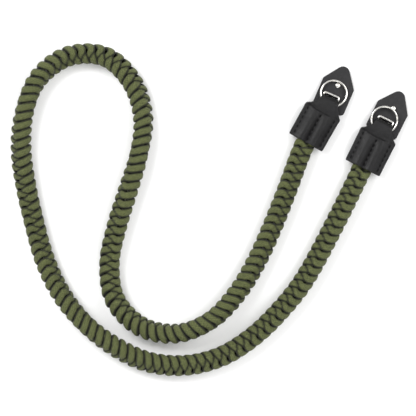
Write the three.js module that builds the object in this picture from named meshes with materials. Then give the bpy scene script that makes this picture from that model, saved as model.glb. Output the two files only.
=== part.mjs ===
// A camera neck strap: a thick rope of knotted cord, laid flat in an open loop, with a stitched
// leather end on each of its two ends. Each leather end is one strap, folded round the lower arc
// of a split ring and through a slot in a pointed leather pad, which keeps the ring off the camera.
// Millimetres, +Z up. The strap lies on z = 0, with the origin at the middle of its outline.
import * as THREE from "three";

// Rope: two sheathed cords worked in one long row of snake knots, one solid here.
const ROPE = { radius: 6.05, sides: 12, step: 13 };

// The rope's middle line on the table, from the end inside the left leather to the end inside the
// right one. The first and last three points lie on the axes of the two leather ends.
const ROUTE = [
  [72.5, 60.4], [68.1, 52.6], [63.7, 44.7], [59.6, 35.3], [50.9, 11.9], [41.6, -11.2],
  [31.3, -33.8], [18.4, -55.2], [1.2, -73.2], [-21.6, -82.4], [-45.9, -77.8], [-63.1, -60.0],
  [-66.8, -35.6], [-61.9, -11.2], [-54.5, 12.6], [-47.3, 36.6], [-44.4, 61.2], [-51.9, 84.9],
  [-69.8, 101.7], [-94.4, 101.8], [-114.2, 86.9], [-123.5, 64.0], [-125.5, 39.2], [-122.1, 14.6],
  [-116.6, -9.7], [-109.7, -33.6], [-98.8, -56.1], [-83.3, -75.5], [-63.7, -90.8], [-41.2, -101.3],
  [-16.4, -103.6], [7.6, -97.7], [28.8, -84.4], [46.7, -67.1], [62.1, -47.7], [85.9, -3.9],
  [96.9, 18.4], [101.4, 27.8], [105.5, 35.9], [109.5, 43.9],
];

// How far the rope is pressed flat, by distance from its end: all the way inside the leather,
// then quickly round again.
const PRESSED = [
  { from: 0, press: 1 },
  { from: 9, press: 1 },
  { from: 17, press: 1 },
  { from: 18.6, press: 1 },
  { from: 20.2, press: 0.6 },
  { from: 22.5, press: 0.3 },
  { from: 26, press: 0.12 },
  { from: 31, press: 0 },
];

// A quarter of the pressed section, by angle round the rope: cords lie on both sides of the
// middle row of stitches.
const PRESSED_SECTION = [
  { angle: 0, side: 6.9, up: 0 },
  { angle: 30, side: 5.9, up: 1.8 },
  { angle: 60, side: 3.7, up: 2.5 },
  { angle: 90, side: 0, up: 0.65 },
];

// Leather ends. Sideways and along are measured from the middle of the metal bar in the pad.
const LEATHER = { thick: 1.6, middle: 4.9 };

// The strap's run, from its front lower edge over the ring, down through the slot, and back under
// the pad to its rear lower edge. crown is how far the middle stands out from the edges, ridges
// is 1 where the middle row of stitches parts it in two, and turn is 1 where it lies as the pad does.
const RUN = [
  { along: -36.0, up: 5.85, half: 11.5, crown: 3.15, ridges: 1, turn: 0 },
  { along: -35.3, up: 5.85, half: 12.5, crown: 3.15, ridges: 1, turn: 0 },
  { along: -33.6, up: 5.85, half: 12.7, crown: 3.15, ridges: 1, turn: 0 },
  { along: -27.0, up: 5.85, half: 12.7, crown: 3.15, ridges: 1, turn: 0 },
  { along: -20.0, up: 5.85, half: 12.8, crown: 3.05, ridges: 0.85, turn: 0 },
  { along: -16.0, up: 5.85, half: 12.8, crown: 2.75, ridges: 0.4, turn: 0 },
  { along: -14.2, up: 5.85, half: 12.9, crown: 2.55, ridges: 0.1, turn: 0 },
  { along: -13.3, up: 5.95, half: 12.9, crown: 2.3, ridges: 0, turn: 0.05 },
  { along: -12.5, up: 6.4, half: 12.7, crown: 1.8, ridges: 0, turn: 0.1 },
  { along: -11.8, up: 7.2, half: 11.8, crown: 1.0, ridges: 0, turn: 0.15 },
  { along: -10.9, up: 7.95, half: 10.7, crown: 0.3, ridges: 0, turn: 0.25 },
  { along: -9.4, up: 8.15, half: 9.5, crown: 0.15, ridges: 0, turn: 0.4 },
  { along: -7.6, up: 8.1, half: 7.7, crown: 0.1, ridges: 0, turn: 0.6 },
  { along: -6.0, up: 8.0, half: 6.8, crown: 0, ridges: 0, turn: 0.8 },
  { along: -4.9, up: 7.8, half: 6.5, crown: 0, ridges: 0, turn: 0.9 },
  { along: -4.0, up: 7.4, half: 5.3, crown: 0, ridges: 0, turn: 1 },
  { along: -3.2, up: 6.6, half: 4.4, crown: 0, ridges: 0, turn: 1 },
  { along: -2.6, up: 5.5, half: 4.3, crown: 0, ridges: 0, turn: 1 },
  { along: -2.25, up: 4.3, half: 4.3, crown: 0, ridges: 0, turn: 1 },
  { along: -2.1, up: 3.1, half: 4.3, crown: 0, ridges: 0, turn: 1 },
  { along: -2.1, up: 2.1, half: 4.3, crown: 0, ridges: 0, turn: 1 },
  { along: -2.4, up: 1.35, half: 4.3, crown: 0, ridges: 0, turn: 1 },
  { along: -3.2, up: 1.0, half: 4.3, crown: 0, ridges: 0, turn: 1 },
  { along: -4.6, up: 1.02, half: 6.2, crown: 0, ridges: 0, turn: 1 },
  { along: -7.0, up: 1.2, half: 7.0, crown: 0, ridges: 0, turn: 0.7 },
  { along: -9.3, up: 1.4, half: 9.3, crown: 0, ridges: 0, turn: 0.4 },
  { along: -10.7, up: 1.65, half: 10.4, crown: 0, ridges: 0, turn: 0.25 },
  { along: -11.7, up: 2.3, half: 11.4, crown: 0.3, ridges: 0, turn: 0.15 },
  { along: -12.6, up: 3.15, half: 12.4, crown: 0.8, ridges: 0, turn: 0.1 },
  { along: -13.6, up: 3.8, half: 12.6, crown: 1.8, ridges: 0.1, turn: 0 },
  { along: -15.0, up: 3.95, half: 12.6, crown: 2.6, ridges: 0.3, turn: 0 },
  { along: -20.0, up: 3.95, half: 12.6, crown: 3.05, ridges: 0.85, turn: 0 },
  { along: -27.0, up: 3.95, half: 12.5, crown: 3.15, ridges: 1, turn: 0 },
  { along: -33.6, up: 3.95, half: 12.5, crown: 3.15, ridges: 1, turn: 0 },
  { along: -35.3, up: 3.95, half: 12.3, crown: 3.15, ridges: 1, turn: 0 },
  { along: -36.0, up: 3.95, half: 11.3, crown: 3.15, ridges: 1, turn: 0 },
];

// Half of the strap's cross-section, by share of its half width: the crown's height where the
// middle stitches part it, and where they don't.
const ACROSS = [
  { at: 0, parted: 0.35, whole: 1 },
  { at: 0.13, parted: 0.6, whole: 1 },
  { at: 0.26, parted: 0.96, whole: 0.98 },
  { at: 0.4, parted: 0.98, whole: 0.88 },
  { at: 0.58, parted: 0.55, whole: 0.52 },
  { at: 0.77, parted: 0, whole: 0.08 },
  { at: 1, parted: 0, whole: 0 },
];

// The pad, lying on the strap's rear fold and with its tip on the table.
const PAD = { thick: 1.8, half: 11.1, corner: 8.8, tip: 20.6, tail: -10.3, tilt: 5, lift: 1.8 };
const PAD_ROUND = { tip: 4, corner: 1.5, tail: 2.4, bevel: 0.25 };
const SLOT = { low: -3.2, high: -1.0, half: 6.35, round: 0.8 };
const BAR = { half: 6.0, wire: 0.73, bend: 1.0, down: -2.1, clinch: 1.3 };
const RIVET = { head: 1.65, dome: 0.95, post: 0.8, hole: 1.1, foot: 1.5, footThick: 0.6 };
const RING = { outer: 9.2, wide: 1.4, coil: 1.0, between: 0.25, jog: 15, open: 5 };

// The two ends. lean is how far each axis leans from +Y towards +X, in degrees.
const ENDS = [
  {
    side: "left",
    at: [81.2, 76.1],
    lean: 29.3,
    padLean: 23.5,
    padShift: 1.2,
    tipShift: -0.3,
    rivet: [1.1, 7.4],
    ring: { at: [0.6, 1.2], tilt: 0, turn: -62 },
  },
  {
    side: "right",
    at: [117.4, 59.9],
    lean: 26.5,
    padLean: 27,
    padShift: 0.6,
    tipShift: -2.0,
    rivet: [0.9, 8.6],
    ring: { at: [-1.2, -1.1], tilt: 4, turn: 35 },
  },
];

const COLOURS = { rope: 0x66724a, leather: 0x35353a, pad: 0x434348, metal: 0xd8d8da };

const { degToRad, lerp } = THREE.MathUtils;

function material(colour, roughness, metalness) {
  return new THREE.MeshStandardMaterial({ color: colour, roughness, metalness });
}

function mesh(name, geometry, look) {
  const made = new THREE.Mesh(geometry, look);
  made.name = name;
  return made;
}

// The value of a table's column at x, between the two rows beside it.
function read(table, key, column, x) {
  const above = table.findIndex((row) => row[key] >= x);
  if (above < 0) return table.at(-1)[column];
  if (above === 0) return table[0][column];
  const [a, b] = [table[above - 1], table[above]];
  return lerp(a[column], b[column], (x - a[key]) / (b[key] - a[key]));
}

// A regular section, as a shape to extrude along a curve.
function sectionShape(sides, halfWide, halfHigh, first) {
  const points = [];
  for (let i = 0; i < sides; i += 1) {
    const angle = degToRad(first) + (2 * Math.PI * i) / sides;
    points.push(new THREE.Vector2(halfWide * Math.cos(angle), halfHigh * Math.sin(angle)));
  }
  return new THREE.Shape(points);
}

// The rope's route, sampled closely where it is pressed flat and at a longer step elsewhere.
class RopeRoute extends THREE.Curve {
  constructor() {
    super();
    const points = ROUTE.map(([x, y]) => new THREE.Vector3(x, y, ROPE.radius));
    this.line = new THREE.CatmullRomCurve3(points, false, "centripetal");
    this.line.arcLengthDivisions = 4000;
    this.length = this.line.getLength();
    const near = PRESSED.map((row) => row.from);
    const last = near.at(-1);
    const free = this.length - 2 * last;
    const steps = Math.round(free / ROPE.step);
    this.stations = [...near];
    for (let i = 1; i < steps; i += 1) this.stations.push(last + (free * i) / steps);
    for (const from of [...near].reverse()) this.stations.push(this.length - from);
  }

  // Where the extrusion's share u of its steps lies on the line, as a share of its length.
  share(u) {
    const x = u * (this.stations.length - 1);
    const low = Math.min(Math.floor(x), this.stations.length - 2);
    return lerp(this.stations[low], this.stations[low + 1], x - low) / this.length;
  }

  getPointAt(u, target) {
    return this.line.getPointAt(this.share(u), target);
  }

  getTangentAt(u, target) {
    return this.line.getTangentAt(this.share(u), target);
  }
}

// Where a point of the round section goes when the rope is pressed, as [sideways, up].
function pressedPoint(angle) {
  const folded = Math.abs(Math.asin(Math.abs(Math.sin(angle))));
  const turned = (folded * 180) / Math.PI;
  return [
    Math.sign(Math.cos(angle)) * read(PRESSED_SECTION, "angle", "side", turned),
    Math.sign(Math.sin(angle)) * read(PRESSED_SECTION, "angle", "up", turned),
  ];
}

function ropeGeometry() {
  const route = new RopeRoute();
  const steps = route.stations.length - 1;
  const section = sectionShape(ROPE.sides, ROPE.radius, ROPE.radius, 0);
  const geometry = new THREE.ExtrudeGeometry(section, { steps, extrudePath: route });
  const centres = route.getSpacedPoints(steps);
  const position = geometry.getAttribute("position");
  const vertex = new THREE.Vector3();
  for (let i = 0; i < position.count; i += 1) {
    vertex.fromBufferAttribute(position, i);
    let nearest = 0;
    centres.forEach((centre, k) => {
      if (centre.distanceToSquared(vertex) < centres[nearest].distanceToSquared(vertex)) nearest = k;
    });
    const station = route.stations[nearest];
    const press = read(PRESSED, "from", "press", Math.min(station, route.length - station));
    if (press === 0) continue;
    const centre = centres[nearest];
    const along = route.getTangentAt(nearest / steps);
    const side = new THREE.Vector3(along.y, -along.x, 0).normalize();
    const out = vertex.clone().sub(centre);
    const round = [out.dot(side), out.z];
    const flat = pressedPoint(Math.atan2(round[1], round[0]));
    const height = lerp(ROPE.radius, LEATHER.middle, press) + lerp(round[1], flat[1], press);
    vertex.copy(centre).addScaledVector(side, lerp(round[0], flat[0], press));
    position.setXYZ(i, vertex.x, vertex.y, height);
  }
  geometry.computeVertexNormals();
  return geometry;
}

// One closed body through a row of outlines with equally many points, with flat ends.
function loft(outlines, cap) {
  const count = outlines[0].length;
  const index = [];
  for (let row = 0; row + 1 < outlines.length; row += 1) {
    for (let i = 0; i < count; i += 1) {
      const a = row * count + i;
      const b = row * count + ((i + 1) % count);
      index.push(a, b, a + count, b, b + count, a + count);
    }
  }
  const last = (outlines.length - 1) * count;
  for (const [a, b, c] of THREE.ShapeUtils.triangulateShape(cap, [])) {
    index.push(a, b, c, last + a, last + c, last + b);
  }
  const geometry = new THREE.BufferGeometry();
  geometry.setFromPoints(outlines.flat());
  geometry.setIndex(index);
  return geometry;
}

// The strap's section at one place of its run: its outer face from left to right, then its inner
// face back again, as [sideways, outward].
function strapSection(row) {
  const half = ACROSS.map(({ at, parted, whole }) => [
    at * row.half,
    row.crown * lerp(whole, parted, row.ridges),
  ]);
  const left = half.slice(1).reverse().map(([x, y]) => [-x, y]);
  const middle = [...left, ...half];
  const normal = middle.map((_, i) => {
    const [a, b] = [middle[Math.max(i - 1, 0)], middle[Math.min(i + 1, middle.length - 1)]];
    return new THREE.Vector2(a[1] - b[1], b[0] - a[0]).normalize();
  });
  const offset = (i, by) => [middle[i][0] + by * normal[i].x, middle[i][1] + by * normal[i].y];
  const outer = middle.map((_, i) => offset(i, LEATHER.thick / 2));
  const inner = middle.map((_, i) => offset(i, -LEATHER.thick / 2));
  return [...outer, ...inner.reverse()];
}

// The folded leather strap of one end, with padTurn the angle from its axis to the pad's.
function strapGeometry(padTurn) {
  const outlines = RUN.map((row, i) => {
    const [before, after] = [RUN[Math.max(i - 1, 0)], RUN[Math.min(i + 1, RUN.length - 1)]];
    const run = new THREE.Vector2(after.along - before.along, after.up - before.up).normalize();
    const turn = padTurn * row.turn;
    return strapSection(row).map(([side, out]) => {
      const along = row.along - out * run.y;
      const x = side * Math.cos(turn) - along * Math.sin(turn);
      const y = side * Math.sin(turn) + along * Math.cos(turn);
      return new THREE.Vector3(x, y, row.up + out * run.x);
    });
  });
  const cap = strapSection(RUN[0]).map(([x, y]) => new THREE.Vector2(x, y));
  return loft(outlines, cap);
}

// A closed outline through corners of [x, y, radius], with an arc in each corner.
function roundedPath(path, corners) {
  const count = corners.length;
  corners.forEach(([x, y, radius], i) => {
    const corner = new THREE.Vector2(x, y);
    const before = new THREE.Vector2(...corners[(i + count - 1) % count]).sub(corner).normalize();
    const after = new THREE.Vector2(...corners[(i + 1) % count]).sub(corner).normalize();
    const half = Math.acos(before.dot(after)) / 2;
    const back = radius / Math.tan(half);
    const start = corner.clone().addScaledVector(before, back);
    const end = corner.clone().addScaledVector(after, back);
    const middle = before.clone().add(after).normalize();
    const centre = corner.clone().addScaledVector(middle, radius / Math.sin(half));
    const from = start.clone().sub(centre).angle();
    const to = end.clone().sub(centre).angle();
    if (i === 0) path.moveTo(start.x, start.y);
    else path.lineTo(start.x, start.y);
    path.absarc(centre.x, centre.y, radius, from, to, before.cross(after) > 0);
  });
  path.closePath();
  return path;
}

function padGeometry(end) {
  const [left, right] = [end.padShift - PAD.half, end.padShift + PAD.half];
  // the sharp corner that the rounded tip is cut from
  const tip = PAD.tip + 1.2;
  const outline = roundedPath(new THREE.Shape(), [
    [left, PAD.tail, PAD_ROUND.tail],
    [right, PAD.tail, PAD_ROUND.tail],
    [right, PAD.corner, PAD_ROUND.corner],
    [end.padShift + end.tipShift, tip, PAD_ROUND.tip],
    [left, PAD.corner, PAD_ROUND.corner],
  ]);
  outline.holes.push(roundedPath(new THREE.Path(), [
    [-SLOT.half, SLOT.high, SLOT.round],
    [SLOT.half, SLOT.high, SLOT.round],
    [SLOT.half, SLOT.low, SLOT.round],
    [-SLOT.half, SLOT.low, SLOT.round],
  ]));
  const hole = new THREE.Path();
  hole.absarc(end.rivet[0], end.rivet[1], RIVET.hole, 0, 2 * Math.PI, true);
  outline.holes.push(hole);
  const { bevel } = PAD_ROUND;
  const geometry = new THREE.ExtrudeGeometry(outline, {
    depth: PAD.thick - 2 * bevel,
    curveSegments: 3,
    bevelThickness: bevel,
    bevelSize: bevel,
    bevelOffset: -bevel,
    bevelSegments: 1,
  });
  return geometry.translate(0, 0, bevel);
}

// The metal bar above the slot: its legs turn down through the slot's two ends and are clinched
// behind the pad.
function barGeometry() {
  const { half, wire, bend, down, clinch } = BAR;
  const front = PAD.thick + 0.1 + wire;
  const back = -0.2 - wire;
  const leg = half - wire;
  const side = (s) => [
    [s * leg, clinch, back],
    [s * leg, down + 0.8 * bend, back],
    [s * leg, down + 0.25 * bend, back + 0.25 * bend],
    [s * leg, down, back + 0.9 * bend],
    [s * leg, down, front - 0.9 * bend],
    [s * leg, down + 0.25 * bend, front - 0.25 * bend],
    [s * leg, down + 0.8 * bend, front],
    [s * (leg - 0.05 * bend), -0.6 * bend, front],
    [s * (leg - 0.3 * bend), -0.15 * bend, front],
    [s * (leg - 0.9 * bend), 0, front],
  ];
  const points = [...side(-1), ...side(1).reverse()].map((p) => new THREE.Vector3(...p));
  const extrudePath = new THREE.CatmullRomCurve3(points, false, "centripetal");
  return new THREE.ExtrudeGeometry(sectionShape(6, wire, wire, 0), { steps: 34, extrudePath });
}

function rivetGeometry() {
  const { head, dome, post, foot, footThick } = RIVET;
  const seat = PAD.thick + 0.2;
  const under = -0.2;
  const profile = [
    [0, under - footThick],
    [foot, under - footThick],
    [foot, under],
    [post, under],
    [post, seat],
    [head, seat],
    [head, seat + 0.3 * dome],
    [0.8 * head, seat + 0.75 * dome],
    [0.45 * head, seat + dome],
    [0.15 * head, seat + 0.85 * dome],
    [0, seat + 0.8 * dome],
  ].map(([x, y]) => new THREE.Vector2(x, y));
  return new THREE.LatheGeometry(profile, 12).rotateX(Math.PI / 2);
}

// The split ring's wire: two flat coils, one on the other, with a jog between them.
class CoilCurve extends THREE.Curve {
  getPoint(t, target = new THREE.Vector3()) {
    const { jog, open, outer, wide, coil, between } = RING;
    const first = jog + open;
    const turned = lerp(first, 720 - first, t);
    const rise = THREE.MathUtils.smoothstep(turned, 360 - jog, 360 + jog);
    const angle = degToRad(turned);
    const radius = outer - wide / 2;
    return target.set(radius * Math.cos(angle), radius * Math.sin(angle), rise * (coil + between));
  }
}

function ringGeometry() {
  const { wide, coil } = RING;
  const section = new THREE.Shape([
    new THREE.Vector2(0, -wide / 2),
    new THREE.Vector2(coil / 2, -0.25 * wide),
    new THREE.Vector2(coil / 2, 0.25 * wide),
    new THREE.Vector2(0, wide / 2),
    new THREE.Vector2(-coil / 2, 0.25 * wide),
    new THREE.Vector2(-coil / 2, -0.25 * wide),
  ]);
  return new THREE.ExtrudeGeometry(section, { steps: 48, extrudePath: new CoilCurve() });
}

// One end: the folded strap on its own axis, and on the pad's axis the pad, bar, rivet and ring.
function buildEnd(end) {
  const { side } = end;
  const group = new THREE.Group();
  group.position.set(end.at[0], end.at[1], 0);
  group.rotation.z = -degToRad(end.lean);
  const padTurn = degToRad(end.lean - end.padLean);
  const leather = material(COLOURS.leather, 0.55, 0);
  group.add(mesh(`end_leather_${side}`, strapGeometry(padTurn), leather));

  const onPad = new THREE.Group();
  onPad.position.z = PAD.lift;
  onPad.rotation.set(-degToRad(PAD.tilt), 0, padTurn, "ZXY");
  group.add(onPad);
  onPad.add(mesh(`ring_pad_${side}`, padGeometry(end), material(COLOURS.pad, 0.65, 0)));
  onPad.add(mesh(`slot_bar_${side}`, barGeometry(), material(COLOURS.metal, 0.25, 1)));
  const rivet = mesh(`pad_rivet_${side}`, rivetGeometry(), material(COLOURS.metal, 0.25, 1));
  rivet.position.set(end.rivet[0], end.rivet[1], 0);
  onPad.add(rivet);

  const ring = mesh(`split_ring_${side}`, ringGeometry(), material(COLOURS.metal, 0.2, 1));
  const tilt = degToRad(end.ring.tilt);
  const lowest = RING.outer * Math.sin(tilt);
  ring.position.set(end.ring.at[0], end.ring.at[1], PAD.thick + 0.2 + RING.coil / 2 + lowest);
  ring.rotation.set(tilt, 0, degToRad(end.ring.turn), "XYZ");
  onPad.add(ring);
  return group;
}

const strap = new THREE.Group();
strap.add(mesh("rope", ropeGeometry(), material(COLOURS.rope, 0.9, 0)));
for (const end of ENDS) strap.add(buildEnd(end));

export default strap;
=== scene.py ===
"""Camera neck strap: a row of snake knots in two sheathed cords, laid in an open loop, with stitched
leather ends that hold split rings on pointed leather pads."""

import math

import bmesh
import bpy
import numpy as np
from mathutils import Matrix, Vector
from mathutils.bvhtree import BVHTree


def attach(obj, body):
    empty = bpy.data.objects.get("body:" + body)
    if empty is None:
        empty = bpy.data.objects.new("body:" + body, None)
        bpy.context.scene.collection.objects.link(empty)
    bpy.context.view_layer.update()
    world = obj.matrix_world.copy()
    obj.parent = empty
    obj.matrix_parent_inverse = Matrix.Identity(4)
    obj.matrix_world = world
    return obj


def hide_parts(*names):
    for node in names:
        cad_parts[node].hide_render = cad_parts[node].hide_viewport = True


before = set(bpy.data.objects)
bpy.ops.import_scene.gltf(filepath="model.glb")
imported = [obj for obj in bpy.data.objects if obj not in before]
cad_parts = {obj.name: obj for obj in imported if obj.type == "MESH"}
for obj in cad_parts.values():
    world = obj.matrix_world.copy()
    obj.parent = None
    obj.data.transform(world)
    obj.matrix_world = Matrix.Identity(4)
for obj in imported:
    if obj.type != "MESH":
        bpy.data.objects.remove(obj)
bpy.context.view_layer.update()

bl_info = {
    "name": "Knotted Cord Neck Strap",
    "version": (1, 0, 0),
    "blender": (4, 5, 0),
    "location": "View3D > Sidebar > Strap",
    "description": "Dresses the strap's solids with knotted cord, stitched leather and nickel",
    "category": "Object",
}

MM = 0.001

# The rope's middle line on the table, in millimetres, as the solid rope has it.
ROUTE = [
    (72.5, 60.4), (68.1, 52.6), (63.7, 44.7), (59.6, 35.3), (50.9, 11.9), (41.6, -11.2),
    (31.3, -33.8), (18.4, -55.2), (1.2, -73.2), (-21.6, -82.4), (-45.9, -77.8), (-63.1, -60.0),
    (-66.8, -35.6), (-61.9, -11.2), (-54.5, 12.6), (-47.3, 36.6), (-44.4, 61.2), (-51.9, 84.9),
    (-69.8, 101.7), (-94.4, 101.8), (-114.2, 86.9), (-123.5, 64.0), (-125.5, 39.2), (-122.1, 14.6),
    (-116.6, -9.7), (-109.7, -33.6), (-98.8, -56.1), (-83.3, -75.5), (-63.7, -90.8), (-41.2, -101.3),
    (-16.4, -103.6), (7.6, -97.7), (28.8, -84.4), (46.7, -67.1), (62.1, -47.7), (85.9, -3.9),
    (96.9, 18.4), (101.4, 27.8), (105.5, 35.9), (109.5, 43.9),
]

# How the row of knots turns about its own line: point of the route, degrees. At 90 a broad face
# is on top, and at 0 a narrow one.
TWIST = [
    (0, 90), (3, 90), (5.8, 45), (8.7, 0), (10.5, -45), (12.2, -90), (13.6, -135), (15.3, -180),
    (16.9, -225), (18, -270), (19.2, -315), (20.5, -360), (22.3, -405), (23.7, -450), (25.2, -495),
    (27, -540), (28.7, -585), (31, -630), (33, -650), (35, -664), (36.5, -641), (39, -640),
]

# One turn of a cord, in twelve steps from the middle of a narrow end on over the broad face that
# it leaves by: out from the rope's middle, over towards the broad face, lead along the rope, width
# of the band, and how far it leans so that its rear edge stands proud.
KNOT = [
    (5.2, 0.0, 0.0, 5.4, 6), (4.7, 2.5, 1.2, 5.4, 7), (3.15, 4.15, 1.9, 5.4, 10),
    (1.1, 4.2, 2.6, 5.1, 18), (-0.9, 3.7, 3.5, 4.4, 24), (-2.9, 2.5, 4.5, 3.7, 26),
    (-2.4, 0.0, 5.7, 3.4, 0), (-2.1, -2.0, 7.1, 3.4, 32), (-0.8, -3.4, 6.2, 3.9, 34),
    (1.1, -4.1, 4.85, 4.7, 28), (3.15, -4.25, 3.75, 5.4, 16), (4.7, -2.5, 4.5, 5.4, 8),
]
KNOT_STEP = 5.95
KNOT_ROWS = len(KNOT)
BAND = KNOT[0][3]

# The rope's middle lies ROPE_MIDDLE above the table with a broad face on top, and ROPE_RISE more
# with a narrow one. The first knot starts ROPE_START from the rope's end, and the cords stay
# ROPE_MARGIN inside it. The turn is evened out over TURN_WINDOW on either side. Millimetres.
ROPE_MIDDLE, ROPE_RISE, ROPE_START, ROPE_MARGIN, TURN_WINDOW = 5.55, 1.1, 3.5, 0.4, 18
CORD_SIDES = 16

# Painted shade in the cords' creases: the cord dives under the other one from DIVE degrees on, its
# edges darken from EDGE of its half width on and its inner side by INNER_DARK, and the creases on
# the broad faces are shallow from LEAVE degrees on. OVER is the stretch over which each comes in.
# Within CREASE_REACH millimetres of the other cord it gets painted shade as well.
DIVE, DIVE_OVER, INNER_DARK = 138, 30, 0.7
EDGE, EDGE_OVER, EDGE_DARK = 0.62, 0.26, 0.95
LEAVE, LEAVE_OVER, SHALLOW = 50, 20, 0.55
CREASE_REACH, CREASE_SEARCH = 0.72, 0.8

# The rope is pressed flat inside the leather: distance from its end in millimetres, share. The
# middle stitches press a valley into it.
PRESSED = [(0, 1), (18.6, 1), (20.2, 0.6), (22.5, 0.3), (26, 0.12), (31, 0)]
PRESSED_HALF, VALLEY_DEEP, VALLEY_WIDE = 2.3, 0.72, 1.9

# The folded strap, from its front lower edge over the ring, through the slot and back behind the
# pad: along, up, half width, crown, how far the middle stitches part it, how far it lies as the pad.
RUN = [
    (-36.0, 5.85, 12.3, 3.15, 1, 0), (-35.3, 5.85, 12.6, 3.15, 1, 0), (-33.6, 5.85, 12.7, 3.15, 1, 0),
    (-27.0, 5.85, 12.7, 3.15, 1, 0), (-20.0, 5.85, 12.8, 3.05, 0.85, 0), (-16.0, 5.85, 12.8, 2.75, 0.4, 0),
    (-14.2, 5.85, 12.9, 2.55, 0.1, 0), (-13.3, 5.95, 12.9, 2.3, 0, 0.05), (-12.5, 6.4, 12.7, 1.8, 0, 0.1),
    (-11.8, 7.2, 11.8, 1.0, 0, 0.15), (-10.9, 7.95, 10.7, 0.3, 0, 0.25), (-9.4, 8.15, 9.5, 0.15, 0, 0.4),
    (-7.6, 8.1, 7.7, 0.1, 0, 0.6), (-6.0, 8.0, 6.8, 0, 0, 0.8), (-4.9, 7.8, 6.5, 0, 0, 0.9),
    (-4.0, 7.4, 6.2, 0, 0, 1), (-3.2, 6.6, 5.9, 0, 0, 1), (-2.6, 5.5, 5.2, 0, 0, 1),
    (-2.25, 4.3, 4.4, 0, 0, 1), (-2.1, 3.1, 4.4, 0, 0, 1), (-2.1, 2.1, 4.4, 0, 0, 1),
    (-2.4, 1.35, 4.4, 0, 0, 1), (-3.2, 1.0, 4.4, 0, 0, 1), (-4.6, 1.02, 6.2, 0, 0, 1),
    (-7.0, 1.2, 7.0, 0, 0, 0.7), (-9.3, 1.4, 9.3, 0, 0, 0.4), (-10.7, 1.65, 10.4, 0, 0, 0.25),
    (-11.7, 2.3, 11.4, 0.3, 0, 0.15), (-12.6, 3.15, 12.4, 0.8, 0, 0.1), (-13.6, 3.8, 12.6, 1.8, 0.1, 0),
    (-15.0, 3.95, 12.6, 2.6, 0.3, 0), (-20.0, 3.95, 12.6, 3.05, 0.85, 0), (-27.0, 3.95, 12.5, 3.15, 1, 0),
    (-33.6, 3.95, 12.5, 3.15, 1, 0), (-35.3, 3.95, 12.4, 3.15, 1, 0), (-36.0, 3.95, 12.1, 3.15, 1, 0),
]

# Half of the strap's section: share of its half width, crown where the stitches part it and where
# they don't.
ACROSS = [
    (0, 0.3, 1), (0.05, 0.34, 1), (0.13, 0.6, 1), (0.26, 0.96, 0.98), (0.4, 0.98, 0.88),
    (0.58, 0.55, 0.52), (0.77, 0, 0.08), (1, 0, 0),
]

# The sleeve's middle and its front face's lower edges over the table, half the leather's thickness,
# and how many of the strap's rows belong to the front of the sleeve.
SLEEVE_MIDDLE, SLEEVE_FRONT, HALF_LEATHER, FRONT_ROWS = 4.9, 5.85, 0.8, 7

# The rows of stitches on a sleeve: sideways, and the lower end of the row.
STITCH_ROWS = [(-9.9, -34.6), (0, -35.2), (9.9, -34.6)]
STITCHES, STITCH_DENT = 6, 0.35

# The two ends: place of the bar, lean from +Y towards +X, the pad's lean and its shape, the rivet's
# and the ring's places on the pad, and how the ring is tilted and turned.
ENDS = {
    "left": dict(at=(81.2, 76.1), lean=29.3, pad_lean=23.5, shift=1.2, tip=-0.3, rivet=(1.1, 7.4),
                 ring=(0.6, 1.2), tilt=0, turn=-62),
    "right": dict(at=(117.4, 59.9), lean=26.5, pad_lean=27, shift=0.6, tip=0.2, rivet=(0.9, 8.6),
                  ring=(-1.2, -1.1), tilt=4, turn=35),
}
PAD_THICK, PAD_LIFT, PAD_TILT = 1.8, 1.8, 5

# A pad's outline from the middle of its bar: half width, and places up the pad with their rounding.
PAD = dict(half=11.1, tail=-10.3, tail_round=2.4, corner=8.8, corner_round=1.5, tip=24.3, tip_round=4.4)
SLOT = dict(half=6.1, high=-1.0, low=-3.2, round=0.8)

# A bar: half its length, how far its feet are bent in, and how far each leg goes down and bends.
BAR = dict(half=6.0, clinch=1.3, right=(-2.1, 1.0), left=(-1.7, 0.8))

# A split ring's flat coil: width, height of a turn, space between the turns, the jog and the open
# end in degrees, and the steps it is spun in, each a pace higher than the last.
RING = dict(wide=1.1, coil=0.95, between=0.3, jog=15, gap=5, steps=220, pace=10.0)

# Lights: place and size in metres, power in watts.
LIGHTS = [
    ("Key", (-0.75, 0.7, 0.95), 0.8, 15), ("Fill", (0.95, 0.35, 0.9), 0.9, 9),
    ("Back", (0.1, -1.1, 0.95), 0.9, 7),
]
WORLD_LIGHT = 0.62

# The camera looks straight down on a field of 0.2766 m, from CAMERA_HEIGHT over the rope's middle.
FIELD, SENSOR, CAMERA_HEIGHT, CAMERA_AT = 0.2766, 36, 1.3, (-0.0013, 0.0010)


# Small helpers


def between(rows, x):
    """The second column's value at x, on straight lines between the rows."""
    table = np.array(rows, float)
    return np.interp(x, table[:, 0], table[:, 1])


def ease(values, start, over):
    """0 up to start, 1 from that far beyond it, and straight between."""
    return np.clip((values - start) / over, 0, 1)


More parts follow.
